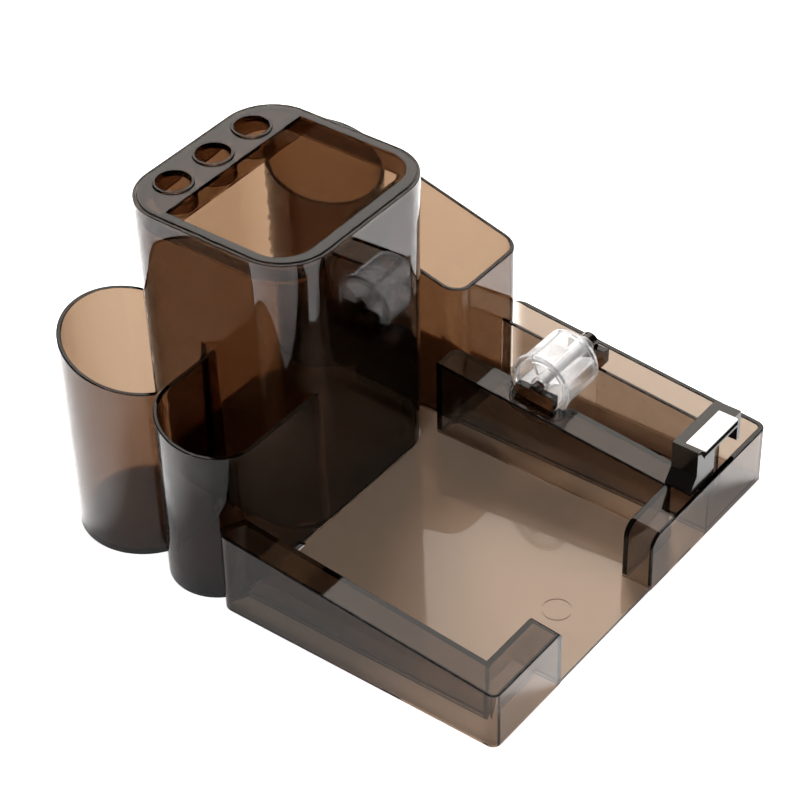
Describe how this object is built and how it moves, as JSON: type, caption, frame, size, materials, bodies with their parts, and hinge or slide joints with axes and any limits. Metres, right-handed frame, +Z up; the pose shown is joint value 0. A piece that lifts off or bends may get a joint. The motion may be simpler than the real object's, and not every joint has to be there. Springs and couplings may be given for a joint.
{
  "type": "desk organizer",
  "caption": "Transparent smoky desk organizer: open memo tray with a tape channel, core and cutter, a square pen tower with a lift-off lid, and round and square cups behind it.",
  "frame": {"origin": "middle of the footprint's bounding box, on the table", "axes": "+Z up, +Y from the front edge of the tray towards the tower, +X to the right of a person at the front"},
  "size_m": [0.1816, 0.2178, 0.1266],
  "materials": {
    "smoky_plastic": "transparent smoky brown, polished",
    "clear_plastic": "clear, polished",
    "black_plastic": "near black, polished",
    "blade_steel": "bright"
  },
  "bodies": {
    "base": {"base_tray": "smoky_plastic", "pen_tower": "smoky_plastic", "left_front_cup": "smoky_plastic", "left_rear_cup": "smoky_plastic", "right_front_pocket": "smoky_plastic", "right_rear_cup": "smoky_plastic", "cutter_holder": "black_plastic", "cutter_blade": "blade_steel"},
    "lid": {"tower_lid": "smoky_plastic"},
    "axle": {"tape_axle": "black_plastic", "axle_end": "black_plastic"},
    "core": {"tape_core": "clear_plastic"}
  },
  "joints": [
    {"name": "lid_lift", "type": "slide", "parent": "base", "child": "lid", "axis": [0, 0, 1], "range_m": [0, 0.03]},
    {"name": "axle_lift", "type": "slide", "parent": "base", "child": "axle", "axis": [0, 0, 1], "range_m": [0, 0.03]},
    {"name": "core_spin", "type": "hinge", "parent": "axle", "child": "core", "pos_m": [0.06084, -0.03292, 0.0373], "axis": [1, 0, 0], "continuous": true}
  ]
}
